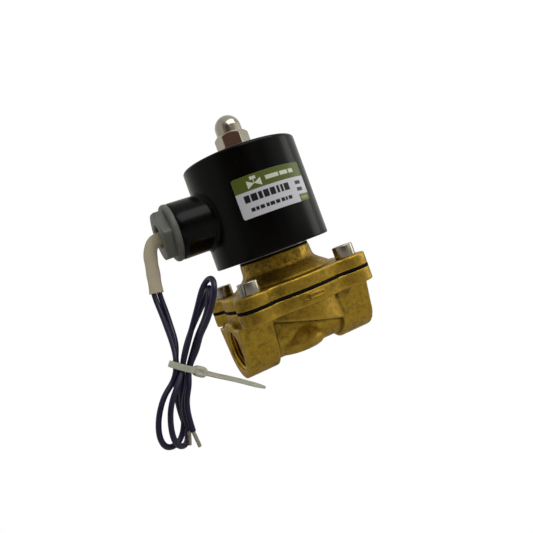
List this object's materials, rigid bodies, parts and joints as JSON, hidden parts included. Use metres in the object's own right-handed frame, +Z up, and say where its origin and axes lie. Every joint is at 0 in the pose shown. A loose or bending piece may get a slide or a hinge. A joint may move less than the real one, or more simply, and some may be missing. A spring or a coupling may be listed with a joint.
{
  "type": "solenoid valve",
  "caption": "Forged brass solenoid valve with threaded ports, a screwed bonnet over a diaphragm, a swivelling round coil and tied lead wires.",
  "frame": {"origin": "centre of the inlet port's mouth", "axes": "+X out of the inlet port, +Z up the coil and armature axis, -Y to the label side"},
  "size_m": [0.1011, 0.0625, 0.1186],
  "materials": {
    "forged_brass": "matte blasted forging",
    "turned_brass": "turned",
    "stainless": "turned",
    "nickel_plate": "bright plated",
    "spring_steel": "drawn wire",
    "soft_iron": "ground",
    "black_enamel": "satin gloss",
    "black_rubber": "moulded",
    "grey_nylon": "moulded",
    "bobbin_plastic": "moulded",
    "copper_wire": "enamelled winding",
    "yellow_tape": "wrapped film",
    "potting_resin": "cast",
    "woven_sleeving": "varnished glass braid",
    "lead_insulation": "smooth silicone",
    "tinned_copper": "tinned strands",
    "natural_nylon": "translucent moulded",
    "printed_film": "printed"
  },
  "bodies": {
    "valve": {"valve_body": "forged_brass", "bonnet": "forged_brass", "bonnet_screws": "nickel_plate", "diaphragm": "black_rubber", "armature_tube": "stainless", "fixed_core": "soft_iron", "tube_collar": "stainless", "tube_o_ring": "black_rubber", "coil_seal": "black_rubber", "base_washer": "stainless", "flat_washer": "nickel_plate", "spring_washer": "spring_steel", "acorn_nut": "nickel_plate", "return_spring": "spring_steel"},
    "armature": {"plunger": "soft_iron", "plunger_seal": "black_rubber"},
    "diaphragm_centre": {"pilot_insert": "turned_brass", "support_washer": "stainless", "lift_spring": "spring_steel"},
    "coil": {"coil_shell": "black_enamel", "flux_plate": "soft_iron", "coil_bobbin": "bobbin_plastic", "coil_winding": "copper_wire", "winding_tape": "yellow_tape", "coil_potting": "potting_resin", "conduit_hub": "black_enamel", "gland_body": "grey_nylon", "gland_nut": "grey_nylon", "gland_grommet": "black_rubber", "lead_sleeve": "woven_sleeving", "lead_a": "lead_insulation", "lead_b": "lead_insulation", "lead_a_tip": "tinned_copper", "lead_b_tip": "tinned_copper", "splice_sleeves": "bobbin_plastic", "cable_tie": "natural_nylon", "label": "printed_film"}
  },
  "joints": [
    {"name": "plunger_lift", "type": "slide", "parent": "valve", "child": "armature", "axis": [0, 0, 1], "range_m": [0, 0.0044], "stiffness_N_per_m": 400, "springref_m": -0.004, "deforming": ["return_spring"]},
    {"name": "diaphragm_lift", "type": "slide", "parent": "valve", "child": "diaphragm_centre", "axis": [0, 0, 1], "range_m": [0, 0.0034], "deforming": ["diaphragm", "lift_spring"]},
    {"name": "coil_swivel", "type": "hinge", "parent": "valve", "child": "coil", "pos_m": [-0.03, 0, 0.033], "axis": [0, 0, 1], "range_deg": [-180, 180]}
  ],
  "couplings": [
    {"joint": "diaphragm_lift", "follows": "plunger_lift", "ratio": 0.7727}
  ]
}
